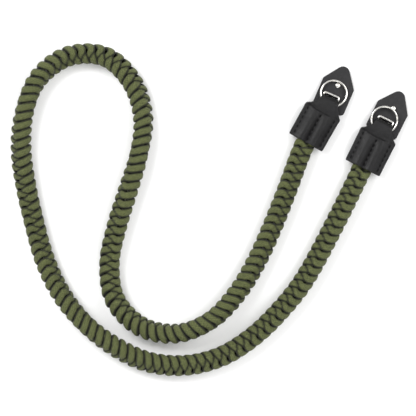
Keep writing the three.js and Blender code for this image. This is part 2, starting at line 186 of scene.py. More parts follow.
def catmull(points, t):
    """A centripetal curve through the points, at places t counted in points."""
    p = np.array(points, float)
    p = np.vstack([2 * p[0] - p[1], p, 2 * p[-1] - p[-2]])
    knots = np.r_[0, np.cumsum(np.sqrt(np.linalg.norm(np.diff(p, axis=0), axis=1)))]
    k = np.clip(np.floor(t).astype(int), 0, len(points) - 2)
    f = (t - k)[:, None]
    t0, t1, t2, t3 = (knots[k + i][:, None] for i in range(4))
    p0, p1, p2, p3 = (p[k + i] for i in range(4))
    x = t1 + f * (t2 - t1)
    a1 = ((t1 - x) * p0 + (x - t0) * p1) / (t1 - t0)
    a2 = ((t2 - x) * p1 + (x - t1) * p2) / (t2 - t1)
    a3 = ((t3 - x) * p2 + (x - t2) * p3) / (t3 - t2)
    b1 = ((t2 - x) * a1 + (x - t0) * a2) / (t2 - t0)
    b2 = ((t3 - x) * a2 + (x - t1) * a3) / (t3 - t1)
    return ((t2 - x) * b1 + (x - t1) * b2) / (t2 - t1)


def unit(rows):
    """The rows with length 1."""
    return rows / np.maximum(np.linalg.norm(rows, axis=-1, keepdims=True), 1e-12)


class Route:
    """The rope's line by length in millimetres, with its turn and how hard it is pressed."""

    def __init__(self):
        t = np.linspace(0, len(ROUTE) - 1, 8000)
        self.line = catmull(ROUTE, t)
        self.at = np.r_[0, np.cumsum(np.linalg.norm(np.diff(self.line, axis=0), axis=1))]
        self.length = self.at[-1]
        self.even = np.arange(0, self.length, 1.0)
        turns = np.interp(self.even, self.at, between(TWIST, t))
        window = 2 * TURN_WINDOW + 1
        self.turns = np.convolve(np.pad(turns, TURN_WINDOW, mode="edge"), np.ones(window) / window, "valid")

    def place(self, s):
        return np.c_[np.interp(s, self.at, self.line[:, 0]), np.interp(s, self.at, self.line[:, 1])]

    def along(self, s):
        return unit(self.place(s + 0.6) - self.place(s - 0.6))

    def side(self, s):
        along = self.along(s)
        return np.c_[along[:, 1], -along[:, 0]]

    def turn(self, s):
        return np.radians(np.interp(s, self.even, self.turns))

    def height(self, s):
        """How high the rope's middle lies where it isn't pressed."""
        return ROPE_MIDDLE + ROPE_RISE * np.abs(np.cos(self.turn(s)))

    def press(self, s):
        return between(PRESSED, np.minimum(s, self.length - s))


def rolled(rings):
    """A closed bmesh through rows of section points (rows x points x 3, in mm)."""
    bm = bmesh.new()
    rows, count = rings.shape[:2]
    bm.loops.layers.uv.new("UVMap")
    verts = bmesh.ops.create_grid(bm, x_segments=count, y_segments=rows - 1, size=1, calc_uvs=True)["verts"]
    where = np.array([v.co[:2] for v in verts])
    column = np.rint((where[:, 0] + 1) / 2 * count).astype(int) % count
    row = np.rint((where[:, 1] + 1) / 2 * (rows - 1)).astype(int) % rows
    place = rings[row, column] * MM
    for v, p in zip(verts, place.tolist()):
        v.co = p
    bmesh.ops.remove_doubles(bm, verts=verts, dist=1e-8)
    bmesh.ops.holes_fill(bm, edges=[e for e in bm.edges if e.is_boundary], sides=0)
    outward(bm)
    return bm


def outward(bm):
    bmesh.ops.recalc_face_normals(bm, faces=bm.faces[:])


def piece(name, bm, material, replaces=()):
    """A finished piece from a bmesh: named, coloured, riding on the strap's one body."""
    mesh = bpy.data.meshes.new(name)
    for face in bm.faces:
        face.smooth = True
    bm.to_mesh(mesh)
    bm.free()
    made = bpy.data.objects.new(name, mesh)
    bpy.context.scene.collection.objects.link(made)
    mesh.materials.append(material)
    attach(made, "root")
    if replaces:
        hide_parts(*replaces)
    return made


def spread(bm, matrix):
    bmesh.ops.transform(bm, matrix=matrix, verts=bm.verts[:])


def end_matrix(side):
    """From an end's own axes, in metres, to the table's."""
    end = ENDS[side]
    place = Vector((end["at"][0] * MM, end["at"][1] * MM, 0))
    return Matrix.Translation(place) @ Matrix.Rotation(-math.radians(end["lean"]), 4, "Z")


def pad_matrix(side):
    """From the pad's own axes, in metres, to the table's."""
    end = ENDS[side]
    turn = math.radians(end["lean"] - end["pad_lean"])
    tilt = Matrix.Rotation(-math.radians(PAD_TILT), 4, "X")
    lift = Matrix.Translation((0, 0, PAD_LIFT * MM))
    return end_matrix(side) @ lift @ Matrix.Rotation(turn, 4, "Z") @ tilt


# Materials


class Nodes:
    """A material's or a group's nodes, with short calls to add and join them."""

    def __init__(self, tree):
        self.tree = tree

    def add(self, kind, **values):
        node = self.tree.nodes.new(kind)
        for key, value in values.items():
            if hasattr(node, key):
                setattr(node, key, value)
            else:
                node.inputs[key.replace("_", " ")].default_value = value
        return node

    def join(self, source, target):
        self.tree.links.new(source, target)

    def math(self, operation, a, b=None, clamp=False):
        node = self.tree.nodes.new("ShaderNodeMath")
        node.operation = operation
        node.use_clamp = clamp
        for socket, value in zip(node.inputs, (a, b)):
            if value is None:
                continue
            if isinstance(value, (int, float)):
                socket.default_value = value
            else:
                self.tree.links.new(value, socket)
        return node.outputs[0]

    def texture(self, kind, vector, **values):
        node = self.add(kind, **values)
        self.join(vector, node.inputs["Vector"])
        return node

    def times(self, a, b):
        return self.math("MULTIPLY", a, b)

    def plus(self, a, b):
        return self.math("ADD", a, b)

    def mix(self, factor, a, b):
        node = self.tree.nodes.new("ShaderNodeMix")
        node.data_type = "RGBA"
        for socket, value in ((node.inputs[0], factor), (node.inputs[6], a), (node.inputs[7], b)):
            if isinstance(value, (int, float)):
                socket.default_value = value
            elif isinstance(value, (tuple, list)):
                socket.default_value = (*value[:3], 1)
            else:
                self.tree.links.new(value, socket)
        return node.outputs[2]


def new_group(name, inputs, outputs):
    group = bpy.data.node_groups.new(name, "ShaderNodeTree")
    for label, kind, value in inputs:
        socket = group.interface.new_socket(name=label, in_out="INPUT", socket_type=kind)
        if value is not None:
            socket.default_value = value
    for label, kind in outputs:
        group.interface.new_socket(name=label, in_out="OUTPUT", socket_type=kind)
    nodes = Nodes(group)
    return group, nodes, nodes.add("NodeGroupInput"), nodes.add("NodeGroupOutput")


def use_group(nodes, group, **values):
    node = nodes.add("ShaderNodeGroup")
    node.node_tree = group
    for key, value in values.items():
        socket = node.inputs[key.replace("_", " ")]
        if isinstance(value, (int, float, tuple)):
            socket.default_value = value
        else:
            nodes.join(value, socket)
    return node


def wear_group():
    """Slow mottling and fine specks: two masks from 0 to 1, on a vector in metres."""
    group, nodes, into, out = new_group(
        "Wear and mottle",
        [("Vector", "NodeSocketVector", None), ("Mottle Scale", "NodeSocketFloat", 120.0),
         ("Speck Scale", "NodeSocketFloat", 1500.0)],
        [("Mottle", "NodeSocketFloat"), ("Specks", "NodeSocketFloat")],
    )
    masks = (("Mottle Scale", "Mottle", 0.35, 0.65), ("Speck Scale", "Specks", 0.5, 0.7))
    for scale, name, low, high in masks:
        noise = nodes.texture("ShaderNodeTexNoise", into.outputs["Vector"], Detail=4.0, Roughness=0.55)
        nodes.join(into.outputs[scale], noise.inputs["Scale"])
        ranged = nodes.add("ShaderNodeMapRange")
        ranged.inputs["From Min"].default_value = low
        ranged.inputs["From Max"].default_value = high
        nodes.join(noise.outputs["Fac"], ranged.inputs["Value"])
        nodes.join(ranged.outputs["Result"], out.inputs[name])
    return group


def grain_group():
    """Leather grain: a height from pebbles and creases, on a vector in metres."""
    group, nodes, into, out = new_group(
        "Leather grain",
        [("Vector", "NodeSocketVector", None), ("Pebble Scale", "NodeSocketFloat", 1600.0),
         ("Crease Scale", "NodeSocketFloat", 260.0)],
        [("Height", "NodeSocketFloat"), ("Creases", "NodeSocketFloat")],
    )
    pebbles = nodes.texture("ShaderNodeTexVoronoi", into.outputs["Vector"], feature="DISTANCE_TO_EDGE")
    nodes.join(into.outputs["Pebble Scale"], pebbles.inputs["Scale"])
    creases = nodes.texture("ShaderNodeTexNoise", into.outputs["Vector"], Detail=6.0, Roughness=0.6)
    nodes.join(into.outputs["Crease Scale"], creases.inputs["Scale"])
    folded = nodes.math("ABSOLUTE", nodes.math("SUBTRACT", creases.outputs["Fac"], 0.5))
    lines = nodes.math("SUBTRACT", 1.0, nodes.times(folded, 9.0), clamp=True)
    pebble = nodes.times(nodes.math("MINIMUM", pebbles.outputs["Distance"], 0.25), 2.4)
    height = nodes.math("SUBTRACT", pebble, nodes.times(lines, 0.5))
    nodes.join(height, out.inputs["Height"])
    nodes.join(lines, out.inputs["Creases"])
    return group


def weave_group():
    """A braided sheath: strands that run both ways over each other, on the cord's own UV map."""
    group, nodes, into, out = new_group(
        "Sheath weave",
        [("Vector", "NodeSocketVector", None), ("Across", "NodeSocketFloat", 20.0),
         ("Along", "NodeSocketFloat", 5000.0)],
        [("Height", "NodeSocketFloat"), ("Shade", "NodeSocketFloat")],
    )
    split = nodes.add("ShaderNodeSeparateXYZ")
    nodes.join(into.outputs["Vector"], split.inputs[0])
    x = nodes.times(split.outputs[0], into.outputs["Across"])
    y = nodes.times(split.outputs[1], into.outputs["Along"])
    right, left = nodes.plus(x, y), nodes.math("SUBTRACT", x, y)
    strands = [nodes.math("ABSOLUTE", nodes.math("SINE", nodes.times(way, math.pi)))
               for way in (right, left)]
    parity = nodes.plus(nodes.math("FLOOR", right), nodes.math("FLOOR", left))
    over = nodes.math("FLOORED_MODULO", parity, 2.0)
    under = nodes.math("SUBTRACT", 1.0, over)
    height = nodes.plus(nodes.times(strands[0], over), nodes.times(strands[1], under))
    nodes.join(height, out.inputs["Height"])
    joined = nodes.add("ShaderNodeCombineXYZ")
    nodes.join(x, joined.inputs[0])
    nodes.join(y, joined.inputs[1])
    noise = nodes.texture("ShaderNodeTexNoise", joined.outputs[0], Scale=1.0, Detail=2.0)
    # painted shade: lighter on the strands' crowns, darker in the grooves between them, with random tone
    # from the noise
    shade = nodes.plus(nodes.times(height, 0.75), nodes.times(noise.outputs["Fac"], 0.35))
    nodes.join(shade, out.inputs["Shade"])
    return group


def start_material(name):
    made = bpy.data.materials.new(name)
    made.use_nodes = True
    tree = made.node_tree
    tree.nodes.clear()
    nodes = Nodes(tree)
    shader = nodes.add("ShaderNodeBsdfPrincipled")
    result = nodes.add("ShaderNodeOutputMaterial")
    nodes.join(shader.outputs[0], result.inputs["Surface"])
    return made, nodes, shader


def bump(nodes, shader, height, strength, distance):
    node = nodes.add("ShaderNodeBump", Strength=strength, Distance=distance)
    nodes.join(height, node.inputs["Height"])
    nodes.join(node.outputs[0], shader.inputs["Normal"])


def shared(name, maker):
    return bpy.data.node_groups.get(name) or maker()


def worn_place(nodes, mottle, specks):
    """The object's own coordinates, and the wear masks on them."""
    place = nodes.add("ShaderNodeTexCoord").outputs["Object"]
    return place, use_group(nodes, shared("Wear and mottle", wear_group), Vector=place,
                            Mottle_Scale=mottle, Speck_Scale=specks)


def shaded(colour, factor, lift=0.0):
    return tuple(min(factor * c + lift, 1) for c in colour)


def cord_material(colour):
    """Woven sheath: matt, with painted shade: a little lighter on the strands, darker where it dives into
    the row.
    """
    made, nodes, shader = start_material("Cord sheath")
    uv = nodes.add("ShaderNodeUVMap", uv_map="UVMap")
    weave = use_group(nodes, shared("Sheath weave", weave_group), Vector=uv.outputs[0],
                      Across=12.0, Along=3000.0)
    wear = worn_place(nodes, 900.0, 2200.0)[1]
    # painted shade from the weave: light on the strands, dark in the grooves between them
    base = nodes.mix(weave.outputs["Shade"], shaded(colour, 0.12), shaded(colour, 1.75, 0.006))
    base = nodes.mix(nodes.times(wear.outputs["Mottle"], 0.4), base, shaded(colour, 1.5, 0.012))
    soiled = nodes.times(nodes.math("SUBTRACT", 1.0, wear.outputs["Mottle"]), 0.45)
    base = nodes.mix(soiled, base, shaded(colour, 0.45))
    # painted shade: darker in the creases and where the cord dives into the row
    crease_shade = nodes.add("ShaderNodeAttribute", attribute_name="crease_shade")
    base = nodes.mix(crease_shade.outputs["Fac"], base, shaded(colour, 0.05))
    nodes.join(base, shader.inputs["Base Color"])
    rough = nodes.plus(nodes.times(weave.outputs["Shade"], -0.12), 0.82)
    nodes.join(rough, shader.inputs["Roughness"])
    shader.inputs["Specular IOR Level"].default_value = 0.3
    shader.inputs["Sheen Weight"].default_value = 0.05
    shader.inputs["Sheen Roughness"].default_value = 0.5
    bump(nodes, shader, weave.outputs["Height"], 0.8, 0.0003)
    return made


def leather_material(name, colour, rough, pebble, strength, shine):
    """Grained leather: mottled, darker in its creases and on its cut edges, with painted shade in its
    stitch dents.
    """
    made, nodes, shader = start_material(name)
    place, wear = worn_place(nodes, 110.0, 1300.0)
    grain = use_group(nodes, shared("Leather grain", grain_group), Vector=place, Pebble_Scale=pebble,
                      Crease_Scale=230.0)
    base = nodes.mix(nodes.times(wear.outputs["Mottle"], 0.55), colour, shaded(colour, 1.5, 0.004))
    base = nodes.mix(nodes.times(grain.outputs["Creases"], 0.35), base, shaded(colour, 0.45))
    edge = nodes.add("ShaderNodeAttribute", attribute_name="edge")
    # dark cut edges are the leather's own colour; the stitch dents and the fold below the bar get painted
    # shade
    base = nodes.mix(edge.outputs["Fac"], base, shaded(colour, 0.3))
    nodes.join(base, shader.inputs["Base Color"])
    mottled = nodes.plus(nodes.times(wear.outputs["Mottle"], 0.2), rough)
    roughness = nodes.plus(nodes.times(wear.outputs["Specks"], 0.12), mottled)
    nodes.join(roughness, shader.inputs["Roughness"])
    shader.inputs["Specular IOR Level"].default_value = shine
    bump(nodes, shader, grain.outputs["Height"], strength, 0.00012)
    return made


def thread_material(colour):
    """Twisted thread: light and dark bands on a slant."""
    made, nodes, shader = start_material("Stitching thread")
    place = nodes.add("ShaderNodeTexCoord").outputs["Object"]
    wave = nodes.texture("ShaderNodeTexWave", place, Scale=900.0, Distortion=1.0,
                         bands_direction="DIAGONAL")
    base = nodes.mix(wave.outputs["Fac"], shaded(colour, 0.6), shaded(colour, 1.6))
    nodes.join(base, shader.inputs["Base Color"])
    nodes.join(nodes.plus(nodes.times(wave.outputs["Fac"], 0.15), 0.55), shader.inputs["Roughness"])
    shader.inputs["Specular IOR Level"].default_value = 0.12
    bump(nodes, shader, wave.outputs["Fac"], 0.4, 0.0001)
    return made


def nickel_material(name, colour, rough):
    """Bright plating with faint scuffs and a little tarnish."""
    made, nodes, shader = start_material(name)
    wear = worn_place(nodes, 300.0, 2600.0)[1]
    tarnished = (colour[0] * 0.86, colour[1] * 0.82, colour[2] * 0.74)
    base = nodes.mix(nodes.times(wear.outputs["Mottle"], 0.35), colour, tarnished)
    nodes.join(base, shader.inputs["Base Color"])
    shader.inputs["Metallic"].default_value = 1.0
    roughness = nodes.plus(nodes.times(wear.outputs["Specks"], 0.14), rough)
    nodes.join(roughness, shader.inputs["Roughness"])
    bump(nodes, shader, wear.outputs["Mottle"], 0.05, 0.00005)
    return made


def floor_material(colour):
    """A matt table that varies very little."""
    made, nodes, shader = start_material("Pale table")
    place = nodes.add("ShaderNodeTexCoord").outputs["Object"]
    noise = nodes.texture("ShaderNodeTexNoise", place, Scale=6.0, Detail=3.0)
    base = nodes.mix(noise.outputs["Fac"], shaded(colour, 0.985), colour)
    nodes.join(base, shader.inputs["Base Color"])
    shader.inputs["Roughness"].default_value = 0.9
    shader.inputs["Specular IOR Level"].default_value = 0.1
    return made


# Sizes and colours that a user would change


def size_setting(name, description, default):
    return bpy.props.FloatProperty(name=name, description=description, default=default,
                                   subtype="DISTANCE", unit="LENGTH")


def colour_setting(name, description, default):
    return bpy.props.FloatVectorProperty(name=name, description=description, default=default,
                                         subtype="COLOR")


class CordSettings(bpy.types.PropertyGroup):
    pitch: size_setting("Knot spacing", "Length of rope that one knot takes", 0.00595)
    width: size_setting("Cord width", "Width of the flattened cord across a band", 0.0054)
    thick: size_setting("Cord thickness", "Thickness of the flattened cord", 0.0033)
    steps: bpy.props.IntProperty(name="Steps in a turn", description="Sections along each turn of the cord",
                                 default=34, min=12, max=40)
    colour: colour_setting("Sheath", "Colour of the cord's sheath", (0.072, 0.083, 0.0245))


class LeatherSettings(bpy.types.PropertyGroup):
    thick: size_setting("Leather thickness", "Thickness of the folded strap", 0.0016)
    stitch: size_setting("Stitch spacing", "Length of one stitch and its gap", 0.0035)
    strap: colour_setting("Strap leather", "Colour of the folded straps", (0.0072, 0.0070, 0.0075))
    pad: colour_setting("Pad leather", "Colour of the pads", (0.0165, 0.016, 0.0172))
    thread: colour_setting("Thread", "Colour of the stitching", (0.0015, 0.0015, 0.0018))


class MetalSettings(bpy.types.PropertyGroup):
    ring: size_setting("Ring radius", "Outer radius of a split ring", 0.0092)
    wire: size_setting("Bar wire radius", "Radius of the slot bars' wire", 0.00073)
    rivet: size_setting("Rivet radius", "Radius of a rivet's head", 0.00165)
    plating: colour_setting("Plating", "Colour of the nickel plating", (0.86, 0.85, 0.82))


class StageSettings(bpy.types.PropertyGroup):
    table: colour_setting("Table", "Colour of the table", (0.93, 0.93, 0.93))
    light: bpy.props.FloatProperty(name="Light", description="Strength of the light from above",
                                   default=1.0, min=0.0)


# Rope


def coil_place(phi):
    """The knot's rows at angles phi: out, over, lead, width and lean, smoothly between them."""
    table = np.array(KNOT, float)
    x = np.mod(phi / (2 * math.pi / KNOT_ROWS), KNOT_ROWS)
    k = np.floor(x).astype(int)
    f = (x - k)[:, None]

    def row(i):
        wrapped = table[(k + i) % KNOT_ROWS].copy()
        wrapped[:, 2] += ((k + i) // KNOT_ROWS) * KNOT_STEP
        return wrapped

    a, b, c, d = row(-1), row(0), row(1), row(2)
    mixed = b + 0.5 * f * (c - a + f * (2 * a - 5 * b + 4 * c - d + f * (3 * (b - c) + d - a)))
    return mixed.T


def coil_points(route, phi, cord, pitch):
    """The cord's line, its outward side, width and lean, as the row of knots takes it."""
    out, over, lead, width, lean = coil_place(phi)
    turns = np.floor(phi / (2 * math.pi))
    s = ROPE_START + pitch / KNOT_STEP * (turns * KNOT_STEP + lead + (width - BAND) / 2)
    s = np.clip(s, ROPE_MARGIN, route.length - ROPE_MARGIN)
    # the second cord is the first one turned half round the rope
    half_turn = -1 if cord == 1 else 1
    turn = route.turn(s)[:, None]
    # to_end leans by the turn from the top towards the right-hand side, and to_face is square to it
    to_end = np.c_[route.side(s) * np.sin(turn), np.cos(turn)]
    to_face = np.cross(np.c_[route.along(s), np.zeros(len(s))], to_end)
    centre = np.c_[route.place(s), route.height(s)]
    line = centre + half_turn * (out[:, None] * to_end + over[:, None] * to_face)
    outwards = half_turn * (np.cos(phi)[:, None] * to_end + 1.15 * np.sin(phi)[:, None] * to_face)
    return s, line, outwards, width, np.radians(lean)


def press_flat(route, s, points):
    """Presses the rows of points near the rope's ends, which the leather holds."""
    press, height = route.press(s)[:, None], route.height(s)[:, None]
    sideways = ((points[..., :2] - route.place(s)[:, None]) * route.side(s)[:, None]).sum(-1)
    valley = 1 - VALLEY_DEEP * press * np.exp(-(sideways / VALLEY_WIDE) ** 2)
    flat = (points[..., 2] - height) * (1 + (PRESSED_HALF / ROPE_MIDDLE - 1) * press) * valley
    points = points.copy()
    points[..., 2] = height + (SLEEVE_MIDDLE - height) * press + flat
    return points


def painted_shade_marks(phi, wide, deep):
    """How much painted shade each point of the cord's sections gets, and how shallow its crease.

    wide and deep are the section's points, as shares of half the cord's width and thickness."""
    round_knot = np.degrees((phi + math.pi) % (2 * math.pi) - math.pi)[:, None]
    edges = ease(np.abs(wide), EDGE, EDGE_OVER) * EDGE_DARK + np.clip(-deep, 0, 1) * INNER_DARK
    crease_shade = np.clip(np.maximum(edges, ease(np.abs(round_knot), DIVE, DIVE_OVER)), 0, 1)
    # where the cord leaves a narrow end its rear edge lies close on the other cord, and so does its
    # front edge where it comes back: those creases are shallow and get less painted shade
    leaving = ease(round_knot, LEAVE, LEAVE_OVER) * (wide > 0)
    coming = ease(-round_knot, LEAVE, LEAVE_OVER) * (wide < 0)
    return np.c_[crease_shade.reshape(-1), (SHALLOW * np.maximum(leaving, coming)).reshape(-1)]


def cord_bmesh(route, cord, settings):
    """One cord of the rope, with the painted shade of each place where it is tucked into the row, for the
    material.
    """
    pitch, width, thick = settings.pitch / MM, settings.width / MM, settings.thick / MM
    turns = (route.length - 2 * ROPE_START) / pitch
    count = int(turns * settings.steps)
    phi = np.linspace(0, 2 * math.pi * turns, count + 1)
    s, line, outwards, band, lean = coil_points(route, phi, cord, pitch)
    run = unit(np.gradient(line, axis=0))
    outwards = unit(outwards - (outwards * run).sum(1, keepdims=True) * run)
    across = np.cross(run, outwards)
    # each band's rear edge stands proud and its front edge is tucked under the next
    cos, sin = np.cos(lean)[:, None], np.sin(lean)[:, None]
    across, outwards = across * cos + outwards * sin, outwards * cos - across * sin
    angle = 2 * math.pi * (np.arange(CORD_SIDES) + 0.5) / CORD_SIDES
    wide, deep = np.sign(np.cos(angle)) * np.abs(np.cos(angle)) ** 0.92, np.sin(angle)
    band = band / BAND
    swell = np.minimum(1 / band, 1.18)
    rings = (line[:, None] + (band[:, None] * wide * width / 2)[..., None] * across[:, None]
             + (swell[:, None] * deep * thick / 2)[..., None] * outwards[:, None])
    rings = press_flat(route, s, rings)
    rings[..., 2] = np.maximum(rings[..., 2], 0.03)
    bm = rolled(rings)
    crease_shade, clear = (bm.verts.layers.float.new(name) for name in ("crease_shade", "clear"))
    places = np.round(rings.reshape(-1, 3) * MM, 7).tolist()
    marks = dict(zip(map(tuple, places), painted_shade_marks(phi, wide, deep).tolist()))
    for v in bm.verts:
        v[crease_shade], v[clear] = marks.get(tuple(round(c, 7) for c in v.co), (0.0, 0.0))
    return bm


def shade_creases(cords):
    """Gives each cord painted shade wherever it meets the other one."""
    trees = [BVHTree.FromBMesh(bm) for bm in cords]
    for bm, other in zip(cords, reversed(trees)):
        crease_shade, clear = bm.verts.layers.float["crease_shade"], bm.verts.layers.float["clear"]
        for v in bm.verts:
            distance = other.find_nearest(v.co, CREASE_SEARCH * MM)[3]
            if distance is not None:
                crease = min(max(1.3 - distance / (CREASE_REACH * MM), 0), 1) * (1 - v[clear])
                v[crease_shade] = max(v[crease_shade], crease)
        bm.verts.layers.float.remove(clear)


class STRAP_OT_rope(bpy.types.Operator):
    """Work the two sheathed cords into their long row of snake knots"""

    bl_idname = "strap.rope"
    bl_label = "Knotted rope"

    def execute(self, context):
        settings = context.scene.strap_cord
        route = Route()
        material = cord_material(tuple(settings.colour))
        made = [cord_bmesh(route, cord, settings) for cord in (0, 1)]
        shade_creases(made)
        cords = [piece(f"rope_cord_{i + 1}", bm, material, ["rope"]) for i, bm in enumerate(made)]
        return {"FINISHED"}


# Leather


def strap_section(half, crown, parted, shares):
    """The middle of the strap's section: sideways and outward, for shares from -1 to 1."""
    table = np.array(ACROSS)
    level = np.interp(np.abs(shares), table[:, 0], table[:, 1] * parted + table[:, 2] * (1 - parted))
    return np.c_[shares * half, crown * level]


def strap_rings(side, thick):
    """The strap's sections all along its run, in the end's own axes."""
    rows = catmull(RUN, np.linspace(0, len(RUN) - 1, 260))
    shares = np.r_[-1, -0.985, np.linspace(-0.95, 0.95, 61), 0.985, 1]
    turn_all = math.radians(ENDS[side]["lean"] - ENDS[side]["pad_lean"])
    run = unit(np.gradient(rows[:, :2], axis=0))
    rings = []
    for i, (along, up, half, crown, parted, turned) in enumerate(rows):
        middle = strap_section(half, crown, min(max(parted, 0), 1), shares)
        # soften the section's corners
        middle[1:-1, 1] = 0.25 * middle[:-2, 1] + 0.5 * middle[1:-1, 1] + 0.25 * middle[2:, 1]
        normal = unit(np.c_[-np.gradient(middle[:, 1]), np.gradient(middle[:, 0])])
        # the leather thins towards its cut edges
        rim = np.ones(len(shares))
        rim[[0, -1]], rim[[1, -2]] = 0.55, 0.88
        wall = normal * (rim * thick / 2)[:, None]
        section = np.vstack([middle + wall, (middle - wall)[::-1]])
        turn = turn_all * turned
        out = section[:, 1]
        y0 = along - out * run[i, 1]
        x = section[:, 0] * math.cos(turn) - y0 * math.sin(turn)
        y = section[:, 0] * math.sin(turn) + y0 * math.cos(turn)
        rings.append(np.c_[x, y, up + out * run[i, 0]])
    return np.array(rings)


def cut_face(face):
    """The strap's two cut ends are the only faces with many corners."""
    return len(face.verts) > 8


def round_edges(bm, edges, offset, segments):
    bmesh.ops.bevel(bm, geom=edges, offset=offset * MM, affect="EDGES", segments=segments, profile=0.5,
                    material=-1, clamp_overlap=True)


def strap_bmesh(side, thick, pitch):
    """The folded strap, with dark cut ends and stitch dents."""
    bm = rolled(strap_rings(side, thick))
    edge = bm.verts.layers.float.new("edge")
    round_edges(bm, [e for e in bm.edges if any(map(cut_face, e.link_faces))], 0.25, 2)
    for face in filter(cut_face, bm.faces):
        for v in face.verts:
            v[edge] = 1.0
    press_stitches(bm, edge, pitch)
    spread(bm, end_matrix(side))
    return bm


def front_height(along, sideways):
    """How high the sleeve's front face lies, in mm, at a place below the folds."""
    rows = np.array(RUN[:FRONT_ROWS])
    half, crown, parted = (np.interp(along, rows[:, 0], rows[:, k]) for k in (2, 3, 4))
    level = strap_section(half, crown, parted, np.array([sideways / half]))[0, 1]
    return SLEEVE_FRONT + level + HALF_LEATHER


def stitch_places(pitch):
    """The middles of the stitches on a sleeve's face, sideways and along."""
    return [(x, low + pitch * (i + 0.5)) for x, low in STITCH_ROWS for i in range(STITCHES)]


def stitch_bmesh(side, settings):
    """Rows of stitches on the sleeve's front, and the same on its back."""
    bm = bmesh.new()
    pitch = settings.stitch / MM
    for face in (1, -1):
        for x, y in stitch_places(pitch):
            made = bmesh.ops.create_uvsphere(bm, u_segments=10, v_segments=6, radius=1)
            z = front_height(y, x) - 0.3
            size = Matrix.Diagonal((0.55 * MM, 0.37 * pitch * MM, 0.32 * MM, 1))
            turn = Matrix.Rotation(math.radians(6 * face), 4, "Z")
            z = z if face > 0 else 2 * SLEEVE_MIDDLE - z
            place = Matrix.Translation((x * MM, y * MM, z * MM))
            bmesh.ops.transform(bm, matrix=place @ turn @ size, verts=made["verts"])
    spread(bm, end_matrix(side))
    return bm


def press_stitches(bm, edge, pitch):
    """Dents the sleeve's outer faces round each stitch, and darkens them with painted shade for the
    material.
    """
    places = np.array(stitch_places(pitch))
    sleeve_top, bar_fold = -12.5, -4.6
    for v in bm.verts:
        x, y, z = (c / MM for c in v.co)
        if y > sleeve_top:
            # the front of the fold just below the bar lies in shade
            if z > 3 and y > bar_fold:
                v[edge] = min((y - bar_fold) / 1.5, 1.0) * 0.8
            continue
        front = z > SLEEVE_MIDDLE
        level = front_height(y, x)
        if abs(z - (level if front else 2 * SLEEVE_MIDDLE - level)) > 0.7:
            continue
        away = np.min(np.hypot((places[:, 0] - x) / 0.95, (places[:, 1] - y) / (0.46 * pitch)))
        dent = math.exp(-(away ** 4) * 1.2)
        # painted shade in the dent round each stitch
        v[edge] = max(v[edge], 0.9 * dent)
        v.co.z += (-STITCH_DENT if front else STITCH_DENT) * dent * MM


def corner_arc(before, corner, after, radius, steps):
    """Points of an arc that rounds one corner of an outline."""
    a, b = unit(np.array(before) - corner), unit(np.array(after) - corner)
    half = math.acos(float(np.clip(a @ b, -1, 1))) / 2
    centre = corner + unit(a + b) * radius / math.sin(half)
    start = corner + a * radius / math.tan(half)
    end = corner + b * radius / math.tan(half)
    a0, a1 = (math.atan2(*(p - centre)[::-1]) for p in (start, end))
    sweep = (a1 - a0 + math.pi) % (2 * math.pi) - math.pi
    angles = a0 + sweep * np.linspace(0, 1, steps)
    return [centre + radius * np.array((math.cos(t), math.sin(t))) for t in angles]


def rounded_outline(corners, steps):
    """The outline's points, from corners given as sideways, along and rounding."""
    points = []
    for i, (x, y, radius) in enumerate(corners):
        before, after = corners[i - 1][:2], corners[(i + 1) % len(corners)][:2]
        points += corner_arc(before, np.array((x, y), float), after, radius, steps)
    return points


def loop_edges(bm, points):
    """A closed loop of edges through the points."""
    verts = [bm.verts.new((p[0] * MM, p[1] * MM, 0)) for p in points]
    return [bm.edges.new((a, b)) for a, b in zip(verts, verts[1:] + verts[:1])]


def pad_bmesh(side):
    """A pointed pad with its slot, cut from flat leather."""
    end = ENDS[side]
    left, right = end["shift"] - PAD["half"], end["shift"] + PAD["half"]
    tail, corner = (PAD["tail"], PAD["tail_round"]), (PAD["corner"], PAD["corner_round"])
    outline = rounded_outline([
        (left, *tail), (right, *tail), (right, *corner),
        (end["shift"] + end["tip"], PAD["tip"], PAD["tip_round"]), (left, *corner),
    ], 7)
    half, high, low, bend = (SLOT[key] for key in ("half", "high", "low", "round"))
    slot = rounded_outline(
        [(-half, high, bend), (half, high, bend), (half, low, bend), (-half, low, bend)], 5)
    bm = bmesh.new()
    edges = loop_edges(bm, outline) + loop_edges(bm, slot)
    bmesh.ops.triangle_fill(bm, edges=edges, use_beauty=True, use_dissolve=False)
    made = bmesh.ops.extrude_face_region(bm, geom=bm.faces[:], use_keep_orig=True)
    top = [v for v in made["geom"] if isinstance(v, bmesh.types.BMVert)]
    bmesh.ops.translate(bm, verts=top, vec=(0, 0, PAD_THICK * MM))
    outward(bm)
    rim = [e for e in bm.edges if len(e.link_faces) == 2 and e.calc_face_angle(0) > 1.2
           and abs(e.verts[0].co.z - e.verts[1].co.z) < 1e-6]
    round_edges(bm, rim, 0.42, 3)
    edge = bm.verts.layers.float.new("edge")
    for v in bm.verts:
        flat = min(abs(v.co.z), abs(v.co.z - PAD_THICK * MM))
        v[edge] = min(flat / (0.3 * MM), 1.0)
    spread(bm, pad_matrix(side))
    return bm


class STRAP_OT_leather_ends(bpy.types.Operator):
    """Fold and stitch the leather strap of each end"""

    bl_idname = "strap.leather_ends"
    bl_label = "Leather ends"

    def execute(self, context):
        settings = context.scene.strap_leather
        material = leather_material("Strap leather", tuple(settings.strap), 0.35, 1500.0, 0.6, 0.26)
        thread = thread_material(tuple(settings.thread))
        for side in ENDS:
            strap = strap_bmesh(side, settings.thick / MM, settings.stitch / MM)
            piece(f"folded_strap_{side}", strap, material, [f"end_leather_{side}"])
            piece(f"stitches_{side}", stitch_bmesh(side, settings), thread)
        return {"FINISHED"}


